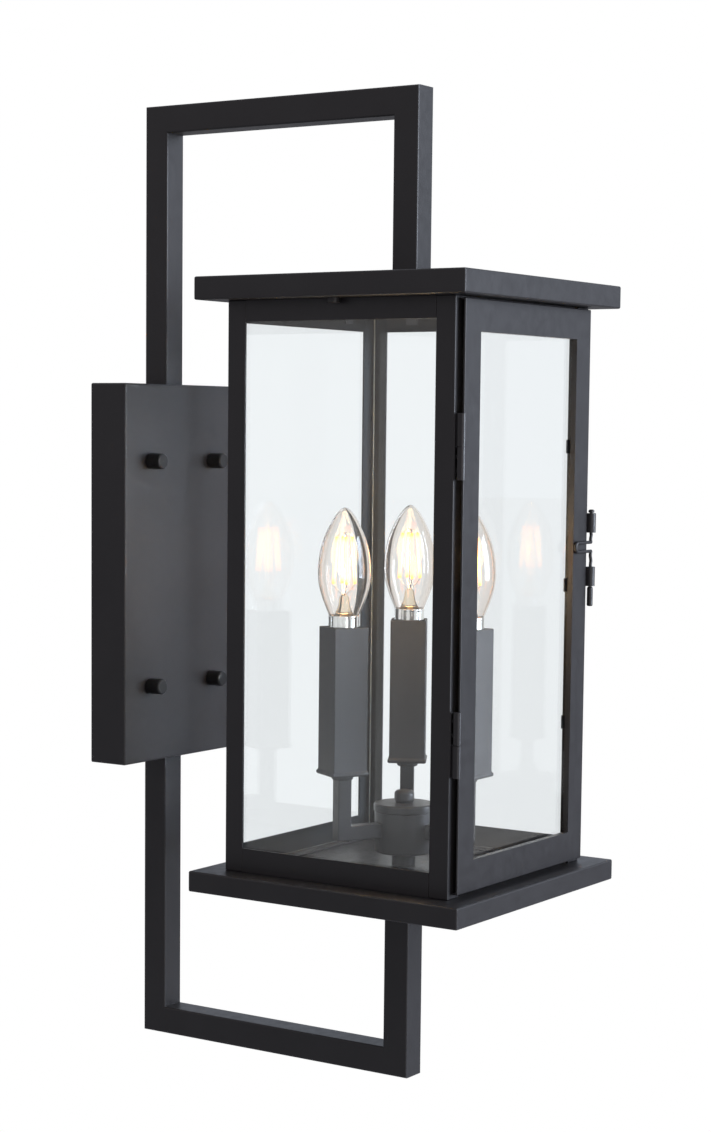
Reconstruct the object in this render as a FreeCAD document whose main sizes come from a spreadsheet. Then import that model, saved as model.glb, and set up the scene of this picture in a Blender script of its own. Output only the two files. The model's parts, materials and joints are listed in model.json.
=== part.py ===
"""Outdoor wall lantern: a glazed four-post lantern hung in a closed square-tube bracket.

Frame, in millimetres: the wall is the plane Y = 0 and the lantern stands off it towards -Y,
+Z is up, and the origin is the centre of the back plate's open back.  Left is -X, the front is -Y.
Every size that can be set on its own is a row of SIZES; positions are worked out from those rows.
"""
import FreeCAD
import Part
import math
import os
import re

SIZES = {
    # wall side
    "plate_width": 125.0, "plate_height": 264.0, "plate_depth": 30.0, "plate_sheet": 1.4,
    "strap_width": 86.0, "strap_height": 178.0, "strap_thick": 2.0,
    "strap_window_width": 50.0, "strap_window_height": 60.0,
    "wall_screw_spacing": 88.9, "wall_slot_width": 5.0, "wall_slot_length": 16.0,
    "stud_spacing_x": 70.0, "stud_spacing_z": 157.0, "stud_dia": 5.0, "stud_reach": 6.0,
    "cap_nut_dia": 11.0, "cap_nut_length": 12.0, "cap_nut_dome": 0.6, "stud_clearance": 0.3,
    # bracket loop
    "tube_side": 19.0, "tube_wall": 1.5, "loop_height": 658.0, "loop_depth": 225.0,
    "loop_drop": 4.0, "leg_gap": 5.0, "leg_slot_clearance": 0.15,
    # cage
    "cage_side": 172.0, "cage_height": 373.8, "cage_floor": -189.6, "sheet": 1.4,
    "post_flange": 14.0, "top_rail_height": 14.0, "bottom_rail_height": 16.0,
    "front_rail_setback": 3.0, "rail_shelf": 12.0,
    # roof and base
    "roof_overhang": 16.0, "roof_thick": 15.0, "base_overhang": 17.5, "base_thick": 13.8,
    "roof_screw_offset": 5.0, "roof_screw_dia": 8.0, "roof_screw_head": 3.4,
    "roof_screw_shank": 4.0, "roof_screw_length": 11.0, "roof_screw_boss": 9.0, "roof_boss_gap": 2.0,
    # panes
    "pane_thick": 2.5, "pane_play": 0.2, "clip_width": 9.0, "clip_thick": 0.8,
    "clip_reach": 8.0, "clip_inset": 36.0,
    # door
    "door_side_gap": 4.5, "door_top_gap": 1.5, "door_rise": 2.9, "door_depth": 4.0,
    "door_gap": 0.5, "door_sheet": 1.2, "stile_width": 19.0, "door_rail_width": 20.0,
    "door_pane_thick": 2.0, "door_pane_overlap": 4.5, "door_clip_over": 2.4,
    # hinges
    "hinge_height": 41.0, "hinge_spread": 184.0, "barrel_dia": 5.2, "hinge_pin_dia": 2.4,
    "pin_running_gap": 0.05, "knuckle_gap": 0.35, "leaf_thick": 0.8, "post_leaf_width": 6.0,
    "door_leaf_width": 10.0, "axis_ahead": 4.6, "axis_inset": 1.6,
    "hinge_screw_dia": 3.0, "hinge_screw_head": 0.8, "hinge_screw_in": 2.6,
    # latch
    "latch_z": 23.0, "latch_span": 49.0, "latch_knuckle_dia": 6.2, "latch_knuckle_length": 13.0,
    "latch_wire_dia": 2.2, "latch_running_gap": 0.05, "latch_loop_reach": 22.5,
    "latch_loop_height": 8.2, "latch_loop_up": 2.0, "latch_axis_out": 3.1,
    "latch_axis_ahead": 1.4, "latch_head_rise": 2.2, "latch_tail_dia": 4.0,
    "latch_tail_length": 13.5, "latch_leaf_thick": 0.8,
    "catch_reach": 10.0, "catch_back": 9.5, "catch_dia": 2.4, "catch_head_dia": 3.2,
    "catch_head_thick": 1.2,
    # stem and hub
    "stem_dia": 15.6, "nipple_dia": 10.0, "nipple_bore": 6.6, "nipple_drop": 9.0,
    "nipple_gap": 0.1, "nipple_nut_across": 15.0, "nipple_nut_height": 3.0,
    "hub_bottom": -180.0, "hub_top": -147.0, "hub_dia": 39.6, "hub_wall": 1.6,
    "lid_dia": 41.0, "lid_thick": 2.0, "lid_skirt": 3.6, "knob_dia": 13.4, "knob_height": 9.0,
    "knob_crown_radius": 12.0,
    # candle arms, sleeves and sockets
    "candle_radius": 46.5, "arm_side": 9.5, "arm_wall": 1.0, "arm_z": -164.5, "arm_inset": 4.0,
    "sleeve_side": 24.5, "sleeve_wall": 1.2, "sleeve_top": -27.4, "sleeve_bottom": -125.5,
    "skirt_proud": 1.0, "skirt_height": 3.0, "boss_dia": 14.4, "boss_height": 3.2,
    "socket_dia": 19.5, "socket_top": -37.0, "socket_height": 38.0,
    "socket_bore_depth": 18.0, "socket_clearance": 0.4,
    # bulbs
    "bulb_dia": 35.0, "bulb_glass_bottom": -19.6, "bulb_glass_top": 51.0, "bulb_widest": 5.0,
    "bulb_neck_dia": 20.4, "bulb_wall": 0.9, "bulb_seat_step": 5.0, "bulb_seat_depth": 3.0,
    "collar_dia": 21.0, "collar_bottom": -36.6,
    "cap_dia": 11.9, "cap_length": 17.0, "contact_dia": 5.0, "contact_height": 1.4,
    "filament_count": 4.0, "filament_dia": 1.8, "filament_length": 31.0, "filament_low": 1.0,
    "filament_low_radius": 7.4, "filament_high_radius": 5.2, "glass_stem_dia": 6.0,
    "filament_mast_dia": 1.2, "filament_wire_dia": 0.8, "filament_spread": 2.6,
    "glass_flare_height": 10.0,
    # wiring
    "cable_dia": 4.4, "cable_bend": 18.0, "cable_entry_z": -52.0, "cable_entry_bend": 9.0, "cable_tail": 30.0,
    "cable_entry_out": 38.4,
    "entry_hole_dia": 8.0, "lead_dia": 2.4, "lead_bend": 3.4, "lead_start": 1.7,
    "lead_socket_depth": 3.0,
}

# Rows that follow from the ones above: the door, the roof and the base all fit the cage.
FITTED = {
    "door_width": "=cage_side - 2 * door_side_gap",
    "door_height": "=cage_height - door_rise - door_top_gap",
    "roof_side": "=cage_side + 2 * roof_overhang",
    "base_side": "=cage_side + 2 * base_overhang",
}
ROWS = {**SIZES, **FITTED}

doc = FreeCAD.newDocument("lantern")
sheet = doc.addObject("Spreadsheet::Sheet", "dims")
for row, (alias, value) in enumerate(ROWS.items(), start=1):
    sheet.set("A%d" % row, alias)
    sheet.set("B%d" % row, str(value))
    sheet.setAlias("B%d" % row, alias)
doc.recompute()

WORD = re.compile(r"[A-Za-z_][A-Za-z0-9_]*")
NODES = []

# Positions worked out from the sizes, written as text so that they can drive the features.
LOOP_TOP = "(loop_height / 2 - loop_drop)"
LOOP_BOTTOM = "(-loop_height / 2 - loop_drop)"
BACK = "(-leg_gap)"
FRONT = "(-leg_gap - loop_depth)"
AXIS_Y = "(tube_side / 2 - leg_gap - loop_depth)"
HALF = "(cage_side / 2)"
CAGE_FRONT = "(%s - %s)" % (AXIS_Y, HALF)
CAGE_BACK = "(%s + %s)" % (AXIS_Y, HALF)
CAGE_TOP = "(cage_floor + cage_height)"
BASE_UNDER = "(cage_floor - base_thick)"
ROOF_UP = "(%s + roof_thick)" % CAGE_TOP
DOOR_BACK = "(%s - door_gap)" % CAGE_FRONT
DOOR_FACE = "(%s - door_depth)" % DOOR_BACK
DOOR_LOW = "(cage_floor + door_rise)"
HINGE_X = "(axis_inset - %s)" % HALF
HINGE_Y = "(%s - axis_ahead)" % CAGE_FRONT
LATCH_X = "(door_width / 2 + latch_axis_out)"
LATCH_Y = "(%s - latch_axis_ahead)" % DOOR_FACE
CANDLES = {"front": 270.0, "left": 150.0, "right": 30.0}


def bind(text):
    """The same formula with each size read from the sheet."""
    return WORD.sub(lambda m: "dims." + m.group(0) if m.group(0) in ROWS else m.group(0), str(text))


def number(text):
    """The formula's value now, for the few shapes that are built point by point."""
    cell = doc.getObject("scratch_cell") or doc.addObject("App::FeaturePython", "scratch_cell")
    if "value" not in cell.PropertiesList:
        cell.addProperty("App::PropertyFloat", "value")
    cell.setExpression("value", bind(text))
    cell.recompute()
    return cell.value


def place(feature, at, turn=None):
    """Puts a feature at three formulas, after an optional fixed rotation."""
    if turn is not None:
        feature.Placement.Rotation = turn
    for letter, text in zip("xyz", at):
        feature.setExpression("Placement.Base." + letter, bind(text))
    return feature


def solid(kind, sizes, at=("0", "0", "0"), turn=None):
    """A driven primitive: sizes maps its properties to formulas."""
    feature = doc.addObject("Part::" + kind, kind.lower())
    for prop, text in sizes.items():
        feature.setExpression(prop, bind(text))
    return place(feature, at, turn)


def box(low, size):
    return solid("Box", {"Length": size[0], "Width": size[1], "Height": size[2]}, low)


def rod(dia, length, at, turn=None):
    return solid("Cylinder", {"Radius": "(%s) / 2" % dia, "Height": length}, at, turn)


def hexagon(across, height, at):
    feature = solid("Prism", {"Circumradius": "(%s) / sqrt(3)" % across, "Height": height}, at)
    feature.Polygon = 6
    return feature


def cut(base, *tools):
    feature = doc.addObject("Part::Cut", "cut")
    feature.Base = base
    feature.Tool = tools[0] if len(tools) == 1 else fuse(*tools)
    return feature


def fuse(*shapes):
    feature = doc.addObject("Part::MultiFuse", "fuse")
    feature.Shapes = list(shapes)
    return feature


def group(*shapes):
    feature = doc.addObject("Part::Compound", "group")
    feature.Links = list(shapes)
    return feature


def made(shape):
    """A feature whose shape is built by Part functions."""
    feature = doc.addObject("Part::Feature", "made")
    feature.Shape = shape
    return feature


def node(label, feature, at=None, angle=None):
    """Names a finished sub-part; a candle part is also turned about the lantern's axis."""
    if angle is not None:
        place(feature, at, FreeCAD.Rotation(FreeCAD.Vector(0, 0, 1), angle))
    feature.Label = label
    NODES.append(feature)
    return feature


def frame_turn(along, inward):
    """The rotation that lays X along one direction and Y along another."""
    x_axis = FreeCAD.Vector(*along)
    y_axis = FreeCAD.Vector(*inward)
    return FreeCAD.Rotation(x_axis, y_axis, x_axis.cross(y_axis), "XYZ")


ALONG_Y = FreeCAD.Rotation(FreeCAD.Vector(1, 0, 0), 90)
ALONG_X = FreeCAD.Rotation(FreeCAD.Vector(0, 1, 0), 90)


# ---------------------------------------------------------------- wall side
def mounting_strap():
    plate = box(("-strap_width / 2", "-strap_thick", "-strap_height / 2"),
                ("strap_width", "strap_thick", "strap_height"))
    window = box(("-strap_window_width / 2", "-strap_thick * 2", "-strap_window_height / 2"),
                 ("strap_window_width", "strap_thick * 3", "strap_window_height"))
    tools = [window]
    for side in ("-1", "1"):
        middle = "%s * wall_screw_spacing / 2" % side
        straight = "(wall_slot_length - wall_slot_width)"
        tools.append(box(("-wall_slot_width / 2", "-strap_thick * 2", "%s - %s / 2" % (middle, straight)),
                         ("wall_slot_width", "strap_thick * 3", straight)))
        for end in ("-1", "1"):
            tools.append(rod("wall_slot_width", "strap_thick * 3",
                             ("0", "strap_thick", "%s + %s * %s / 2" % (middle, end, straight)), ALONG_Y))
    return cut(plate, *tools)


def at_studs(make):
    shapes = []
    for side in ("-1", "1"):
        for level in ("-1", "1"):
            shapes.append(make("%s * stud_spacing_x / 2" % side, "%s * stud_spacing_z / 2" % level))
    return shapes


def stud(x, z):
    return rod("stud_dia", "plate_depth + stud_reach - strap_thick", (x, "-strap_thick", z), ALONG_Y)


def cap_nut(x, z):
    body = rod("cap_nut_dia", "cap_nut_length - cap_nut_dome", (x, "-plate_depth", z), ALONG_Y)
    crown = solid("Cone", {"Radius1": "cap_nut_dia / 2", "Radius2": "cap_nut_dia / 2 - cap_nut_dome",
                           "Height": "cap_nut_dome"},
                  (x, "-plate_depth - cap_nut_length + cap_nut_dome", z), ALONG_Y)
    thread = rod("stud_dia + 2 * pin_running_gap", "stud_reach + pin_running_gap",
                 (x, "-plate_depth", z), ALONG_Y)
    return cut(fuse(body, crown), thread)


def backplate():
    shell = box(("-plate_width / 2", "-plate_depth", "-plate_height / 2"),
                ("plate_width", "plate_depth", "plate_height"))
    inside = ("plate_sheet - plate_width / 2", "plate_sheet - plate_depth", "plate_sheet - plate_height / 2")
    hollow = box(inside, ("plate_width - 2 * plate_sheet", "plate_depth", "plate_height - 2 * plate_sheet"))
    slot = "(tube_side + 2 * leg_slot_clearance)"
    passage = box(("-%s / 2" % slot, "-leg_gap - tube_side - leg_slot_clearance", "-plate_height"),
                  (slot, "leg_gap + tube_side + 1", "2 * plate_height"))
    holes = at_studs(lambda x, z: rod("stud_dia + 2 * stud_clearance", "plate_sheet * 3",
                                      (x, "plate_sheet - plate_depth + plate_sheet", z), ALONG_Y))
    return cut(shell, hollow, passage, *holes)


node("mounting_strap", mounting_strap())
node("strap_studs", group(*at_studs(stud)))
node("backplate", backplate())
node("cap_nuts", group(*at_studs(cap_nut)))


# ---------------------------------------------------------------- bracket loop
def mitred_tube(length, at, along, inward, far_mitre=True):
    """A hollow square tube whose outer side is its longer one, mitred at one end or at both."""
    def bar(skin):
        low = skin
        high = "(tube_side - %s)" % skin
        far_out = "(%s - %s)" % (length, low) if far_mitre else length
        far_in = "(%s - %s)" % (length, high) if far_mitre else length
        return solid("Wedge", {"Xmin": low, "Xmax": far_out, "X2min": high, "X2max": far_in,
                               "Ymin": low, "Ymax": high, "Zmin": low, "Zmax": high,
                               "Z2min": low, "Z2max": high}, at, frame_turn(along, inward))
    return cut(bar("0"), bar("tube_wall"))


half_tube = "tube_side / 2"
entry_hole = rod("entry_hole_dia", "tube_side / 2 + 1",
                 ("-%s - 1" % half_tube, "-leg_gap - %s" % half_tube, "cable_entry_z"), ALONG_X)
back_tube = mitred_tube("loop_height", (half_tube, BACK, LOOP_TOP), (0, 0, -1), (0, -1, 0))
node("back_leg", cut(back_tube, entry_hole))
node("top_bar", mitred_tube("loop_depth", ("-" + half_tube, BACK, LOOP_TOP), (0, -1, 0), (0, 0, -1)))
node("bottom_bar", mitred_tube("loop_depth", (half_tube, BACK, LOOP_BOTTOM), (0, -1, 0), (0, 0, 1)))
node("upper_front_leg", mitred_tube("(%s - %s)" % (LOOP_TOP, ROOF_UP), ("-" + half_tube, FRONT, LOOP_TOP),
                                    (0, 0, -1), (0, 1, 0), far_mitre=False))
node("lower_front_leg", mitred_tube("(%s - %s)" % (BASE_UNDER, LOOP_BOTTOM), (half_tube, FRONT, LOOP_BOTTOM),
                                    (0, 0, 1), (0, 1, 0), far_mitre=False))


# ---------------------------------------------------------------- roof and base slabs
def square_block(side, low, height):
    return box(("-(%s) / 2" % side, "%s - (%s) / 2" % (AXIS_Y, side), low), (side, side, height))


def at_roof_screws(dia, length, low):
    """The same upright rod at both roof screws, which stand left and right of the cage."""
    reach = "(%s + roof_screw_offset)" % HALF
    return [rod(dia, length, (sign + reach, AXIS_Y, low)) for sign in ("-", "")]


roof_bosses = at_roof_screws("roof_screw_boss", "roof_thick - sheet - roof_boss_gap",
                             "%s + roof_boss_gap" % CAGE_TOP)
roof_threads = at_roof_screws("roof_screw_shank + 2 * pin_running_gap", "roof_screw_length + roof_boss_gap",
                              "%s - roof_screw_head" % CAGE_TOP)
roof_shell = cut(square_block("roof_side", CAGE_TOP, "roof_thick"),
                 square_block("roof_side - 2 * sheet", CAGE_TOP, "roof_thick - sheet"))
node("roof_cap", cut(fuse(roof_shell, *roof_bosses), *roof_threads))
node("roof_ceiling", cut(square_block("roof_side - 2 * sheet", CAGE_TOP, "sheet"),
                         *at_roof_screws("roof_screw_shank", "3 * sheet", "%s - sheet" % CAGE_TOP)))
screw_heads = at_roof_screws("roof_screw_dia", "roof_screw_head", "%s - roof_screw_head" % CAGE_TOP)
screw_shanks = at_roof_screws("roof_screw_shank", "roof_screw_length", "%s - roof_screw_head" % CAGE_TOP)
node("roof_screws", group(*[fuse(head, shank) for head, shank in zip(screw_heads, screw_shanks)]))

stem_hole = rod("nipple_dia + 2 * nipple_gap", "base_thick", ("0", AXIS_Y, "cage_floor - base_thick / 2"))
cable_hole = rod("nipple_dia", "sheet * 3", ("0", AXIS_Y, "%s - sheet" % BASE_UNDER))
node("base_tray", cut(square_block("base_side", BASE_UNDER, "base_thick"),
                      square_block("base_side - 2 * sheet", BASE_UNDER, "base_thick - sheet"), stem_hole))
node("base_bottom", cut(square_block("base_side - 2 * sheet", BASE_UNDER, "sheet"), cable_hole))


# ---------------------------------------------------------------- cage of angle section
def post(side, end):
    """A corner angle: side is -1 left or 1 right, end is -1 front or 1 rear."""
    outer_x = "%d * %s" % (side, HALF)
    outer_y = "%s + %d * %s" % (AXIS_Y, end, HALF)

    def span(outer, sign, size):
        return outer if sign < 0 else "%s - %s" % (outer, size)
    wide = box((span(outer_x, side, "post_flange"), span(outer_y, end, "sheet"), "cage_floor"),
               ("post_flange", "sheet", "cage_height"))
    deep = box((span(outer_x, side, "sheet"), span(outer_y, end, "post_flange"), "cage_floor"),
               ("sheet", "post_flange", "cage_height"))
    return fuse(wide, deep)


def ring(low, height, shelf_low):
    """Four angle rails between the posts: three flush with them, the front one set back."""
    inner = "(cage_side - 2 * post_flange)"
    rails = []
    for side in (-1, 1):
        wall_x = "-%s" % HALF if side < 0 else "%s - sheet" % HALF
        shelf_x = "-%s" % HALF if side < 0 else "%s - rail_shelf" % HALF
        start = "%s - %s / 2" % (AXIS_Y, inner)
        rails.append(box((wall_x, start, low), ("sheet", inner, height)))
        rails.append(box((shelf_x, start, shelf_low), ("rail_shelf", inner, "sheet")))
    front = "%s + front_rail_setback" % CAGE_FRONT
    for wall_y, shelf_y in ((front, front), ("%s - sheet" % CAGE_BACK, "%s - rail_shelf" % CAGE_BACK)):
        rails.append(box(("-%s / 2" % inner, wall_y, low), (inner, "sheet", height)))
        rails.append(box(("-%s / 2" % inner, shelf_y, shelf_low), (inner, "rail_shelf", "sheet")))
    return fuse(*rails)


node("front_right_post", post(1, -1))
node("rear_left_post", post(-1, 1))
node("rear_right_post", post(1, 1))
node("top_rails", ring("%s - top_rail_height" % CAGE_TOP, "top_rail_height", "%s - sheet" % CAGE_TOP))
node("bottom_rails", ring("cage_floor", "bottom_rail_height", "cage_floor"))

# ---------------------------------------------------------------- fixed panes and their clips
pane_low = "(cage_floor + sheet + pane_play)"
pane_height = "(cage_height - 2 * sheet - 2 * pane_play)"
side_pane_start = "(%s + sheet + pane_play)" % CAGE_FRONT
side_pane_length = "(cage_side - 2 * sheet - pane_thick - 3 * pane_play)"
for label, low_x in (("left_glass", "sheet - %s" % HALF), ("right_glass", "%s - sheet - pane_thick" % HALF)):
    node(label, box((low_x, side_pane_start, pane_low), ("pane_thick", side_pane_length, pane_height)))
node("rear_glass", box(("sheet + pane_play - %s" % HALF, "%s - sheet - pane_thick" % CAGE_BACK, pane_low),
                       ("cage_side - 2 * sheet - 2 * pane_play", "pane_thick", pane_height)))


def pane_clip(side, shift, top):
    """A bent tab that stands on a rail's shelf and backs a pane; side is left, right or rear."""
    foot_z = "%s - sheet - clip_thick" % CAGE_TOP if top else "cage_floor + sheet"
    wall_z = "%s - sheet - clip_reach" % CAGE_TOP if top else "cage_floor + sheet"
    face = "(%s - sheet - pane_thick)" % HALF
    if side == "rear":
        edge = "%s + %s" % (AXIS_Y, face)
        middle = "%s - clip_width / 2" % shift
        foot = box((middle, "%s - clip_reach" % edge, foot_z), ("clip_width", "clip_reach", "clip_thick"))
        wall = box((middle, "%s - clip_thick" % edge, wall_z), ("clip_width", "clip_thick", "clip_reach"))
    else:
        middle = "%s + %s - clip_width / 2" % (AXIS_Y, shift)
        foot_x = "-%s" % face if side == "left" else "%s - clip_reach" % face
        wall_x = "-%s" % face if side == "left" else "%s - clip_thick" % face
        foot = box((foot_x, middle, foot_z), ("clip_reach", "clip_width", "clip_thick"))
        wall = box((wall_x, middle, wall_z), ("clip_thick", "clip_width", "clip_reach"))
    return fuse(foot, wall)


clip_shift = "(%s - clip_inset)" % HALF
node("pane_clips", group(*[pane_clip(side, sign + clip_shift, top) for side in ("left", "right", "rear")
                           for sign in ("-", "") for top in (False, True)]))


# ---------------------------------------------------------------- door
def door_frame():
    """Folded sheet: a flat face with returns round the window and on every edge but the hinge side."""
    half = "(door_width / 2)"
    window_low = "(%s + door_rail_width)" % DOOR_LOW
    window_height = "(door_height - 2 * door_rail_width)"
    window_width = "(door_width - 2 * stile_width)"
    slab = box(("-" + half, DOOR_FACE, DOOR_LOW), ("door_width", "door_depth", "door_height"))
    window = box(("stile_width - %s" % half, "%s - 1" % DOOR_FACE, window_low),
                 (window_width, "door_depth + 2", window_height))
    pocket = box(("-%s - 1" % half, "%s + door_sheet" % DOOR_FACE, "%s + door_sheet" % DOOR_LOW),
                 ("door_width + 1 - door_sheet", "door_depth", "door_height - 2 * door_sheet"))
    lip_low = ("stile_width - %s - door_sheet" % half, "%s + door_sheet" % DOOR_FACE,
               "%s - door_sheet" % window_low)
    lip = box(lip_low, ("%s + 2 * door_sheet" % window_width, "door_depth - door_sheet",
                        "%s + 2 * door_sheet" % window_height))
    return cut(fuse(cut(slab, pocket), lip), window)


def door_pane():
    return box(("stile_width - door_pane_overlap - door_width / 2", DOOR_BACK,
                "%s + door_rail_width - door_pane_overlap" % DOOR_LOW),
               ("door_width - 2 * stile_width + 2 * door_pane_overlap", "door_pane_thick",
                "door_height - 2 * door_rail_width + 2 * door_pane_overlap"))


def door_clip(side, level):
    """A bent tab from the face's inner side, round the pane's edge and over its back."""
    edge = "(door_width / 2 - stile_width + door_pane_overlap + pane_play)"
    tip = "(door_width / 2 - stile_width - door_clip_over)"
    low = "%s - clip_width / 2" % level
    back = "(%s + door_pane_thick)" % DOOR_BACK
    depth = "(door_depth - door_sheet + door_pane_thick + clip_thick)"
    leg_x = edge if side > 0 else "-%s - clip_thick" % edge
    arm_x = tip if side > 0 else "-%s - clip_thick" % edge
    leg = box((leg_x, "%s + door_sheet" % DOOR_FACE, low), ("clip_thick", depth, "clip_width"))
    arm = box((arm_x, back, low), ("%s - %s + clip_thick" % (edge, tip), "clip_thick", "clip_width"))
    return fuse(leg, arm)


node("door_frame", door_frame())
node("door_glass", door_pane())
node("door_clips", group(*[door_clip(side, level) for side in (-1, 1)
                           for level in ("-hinge_spread / 2", "0", "hinge_spread / 2")]))


# ---------------------------------------------------------------- hinges
def knuckle(low, length):
    return rod("barrel_dia", length, (HINGE_X, HINGE_Y, low))


def hinge_bore(centre):
    return rod("hinge_pin_dia + 2 * pin_running_gap", "hinge_height + 2",
               (HINGE_X, HINGE_Y, "%s - hinge_height / 2 - 1" % centre))


def hinge_halves(centre, post_is_high):
    """The low and high knuckle spans of one hinge, returned as post side then door side."""
    length = "(hinge_height / 2 - knuckle_gap / 2)"
    low = "(%s - hinge_height / 2)" % centre
    high = "(%s + knuckle_gap / 2)" % centre
    return (high, low, length) if post_is_high else (low, high, length)


def post_leaf(centre, post_is_high):
    post_low, door_low, length = hinge_halves(centre, post_is_high)
    leaf = box(("-%s" % HALF, "%s - leaf_thick" % CAGE_FRONT, "%s - hinge_height / 2" % centre),
               ("post_leaf_width", "leaf_thick", "hinge_height"))
    web = box(("%s - leaf_thick / 2" % HINGE_X, HINGE_Y, post_low), ("leaf_thick", "axis_ahead", length))
    return cut(fuse(leaf, web, knuckle(post_low, length)), hinge_bore(centre), *screw_holes(door_low, length))


def door_leaf(centre, post_is_high):
    _, door_low, length = hinge_halves(centre, post_is_high)
    back = "(%s + door_sheet)" % DOOR_FACE
    leaf = box(("-door_width / 2", back, "%s - hinge_height / 2" % centre),
               ("door_leaf_width", "leaf_thick", "hinge_height"))
    web = box((HINGE_X, back, door_low), ("-door_width / 2 - %s" % HINGE_X, "leaf_thick", length))
    return cut(fuse(leaf, web, knuckle(door_low, length)), hinge_bore(centre))


def screw_points(low, length):
    """The two screws of a hinge sit beside the door's knuckle, where the post leaf has no web."""
    return [("hinge_screw_in - %s" % HALF, "%s + %s * %s" % (low, length, part)) for part in ("0.28", "0.72")]


def screw_holes(low, length):
    behind = "%s + sheet + 1" % CAGE_FRONT
    return [rod("hinge_screw_dia / 2", "leaf_thick + sheet + 2", (x, behind, z), ALONG_Y)
            for x, z in screw_points(low, length)]


def hinge_screw(x, z):
    head = rod("hinge_screw_dia", "hinge_screw_head", (x, "%s - leaf_thick" % CAGE_FRONT, z), ALONG_Y)
    shank = rod("hinge_screw_dia / 2", "leaf_thick + sheet", (x, "%s + sheet" % CAGE_FRONT, z), ALONG_Y)
    return fuse(head, shank)


def hinge_pin(centre):
    return rod("hinge_pin_dia", "hinge_height", (HINGE_X, HINGE_Y, "%s - hinge_height / 2" % centre))


HINGES = (("hinge_spread / 2", True), ("-hinge_spread / 2", False))
node("post_hinge_leaves", group(*[post_leaf(*hinge) for hinge in HINGES]))
node("door_hinge_leaves", group(*[door_leaf(*hinge) for hinge in HINGES]))
node("hinge_pins", group(*[hinge_pin(centre) for centre, _ in HINGES]))
screws = []
post_holes = []
for centre, post_is_high in HINGES:
    _, door_low, length = hinge_halves(centre, post_is_high)
    screws += [hinge_screw(x, z) for x, z in screw_points(door_low, length)]
    post_holes += screw_holes(door_low, length)
node("hinge_screws", group(*screws))
node("front_left_post", cut(post(-1, -1), *post_holes))


# ---------------------------------------------------------------- latch
latch_low = "(latch_z - latch_span / 2)"
latch_high = "(latch_z + latch_span / 2)"


def latch_bracket():
    """Two tube knuckles rolled from leaves that sit on the door's free edge."""
    pieces = []
    for low in (latch_low, "(%s - latch_knuckle_length)" % latch_high):
        barrel = rod("latch_knuckle_dia", "latch_knuckle_length", (LATCH_X, LATCH_Y, low))
        leaf = box(("door_width / 2", LATCH_Y, low),
                   ("latch_leaf_thick", "latch_axis_ahead + door_depth", "latch_knuckle_length"))
        pieces.append(fuse(barrel, leaf))
    bore = rod("latch_wire_dia + 2 * latch_running_gap", "latch_span + 2",
               (LATCH_X, LATCH_Y, "%s - 1" % latch_low))
    return group(*[cut(piece, bore) for piece in pieces])


def latch_loop():
    """A round-wire spindle with a flat loop across the stile, a head above and a thumb tail below."""
    below = "%s - knuckle_gap" % latch_low
    spindle = rod("latch_wire_dia", "latch_span + 2 * knuckle_gap", (LATCH_X, LATCH_Y, below))
    head = rod("latch_tail_dia", "latch_head_rise", (LATCH_X, LATCH_Y, "%s + knuckle_gap" % latch_high))
    tail = rod("latch_tail_dia", "latch_tail_length", (LATCH_X, LATCH_Y, below + " - latch_tail_length"))
    middle = "(latch_z + latch_loop_up)"
    rise = "(latch_loop_height / 2 - latch_wire_dia / 2)"
    straight = "(latch_loop_reach - latch_loop_height / 2)"
    turn = FreeCAD.Rotation(FreeCAD.Vector(0, 1, 0), -90)
    arms = [rod("latch_wire_dia", straight, (LATCH_X, LATCH_Y, "%s %s %s" % (middle, sign, rise)), turn)
            for sign in ("+", "-")]
    bend = solid("Torus", {"Radius1": rise, "Radius2": "latch_wire_dia / 2"},
                 ("%s - %s" % (LATCH_X, straight), LATCH_Y, middle),
                 FreeCAD.Rotation(FreeCAD.Vector(1, 0, 0), 90))
    half = box(("%s - %s - latch_loop_height" % (LATCH_X, straight), "%s - latch_wire_dia" % LATCH_Y,
                "%s - latch_loop_height" % middle),
               ("latch_loop_height", "2 * latch_wire_dia", "2 * latch_loop_height"))
    common = doc.addObject("Part::MultiCommon", "common")
    common.Shapes = [bend, half]
    return fuse(spindle, head, tail, arms[0], arms[1], common)


def latch_catch():
    """A headed stud on the right post's side, which the loop drops over when it is swung round."""
    at_y = "(%s + catch_back)" % CAGE_FRONT
    middle = "(latch_z + latch_loop_up)"
    stem = rod("catch_dia", "catch_reach", (HALF, at_y, middle), ALONG_X)
    head = rod("catch_head_dia", "catch_head_thick",
               ("%s + catch_reach - catch_head_thick" % HALF, at_y, middle), ALONG_X)
    return fuse(stem, head)


node("latch_bracket", latch_bracket())
node("latch_loop", latch_loop())


# ---------------------------------------------------------------- stem and hub
nipple_low = "(cage_floor - nipple_drop)"
nipple_high = "(hub_top + knob_height / 2)"


def on_axis(dia, low, high):
    return rod(dia, "%s - (%s)" % (high, low), ("0", AXIS_Y, low))


def nipple():
    """Threaded tube through base, stem and hub, with a side window for each arm's leads."""
    tube = cut(on_axis("nipple_dia", nipple_low, nipple_high),
               on_axis("nipple_bore", "%s - 1" % nipple_low, "hub_top - lid_thick"))
    windows = []
    for angle in CANDLES.values():
        slot = box(("0", "-lead_dia", "0"), ("nipple_dia", "2 * lead_dia", "3 * lead_dia"))
        slot_turned = group(slot)
        place(slot_turned, ("0", AXIS_Y, "arm_z - 1.5 * lead_dia"),
              FreeCAD.Rotation(FreeCAD.Vector(0, 0, 1), angle))
        windows.append(slot_turned)
    return cut(tube, *windows)


def nipple_nut(low):
    return cut(hexagon("nipple_nut_across", "nipple_nut_height", ("0", AXIS_Y, low)),
               on_axis("nipple_dia + 2 * nipple_gap", "%s - 1" % low, "%s + nipple_nut_height + 1" % low))


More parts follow.
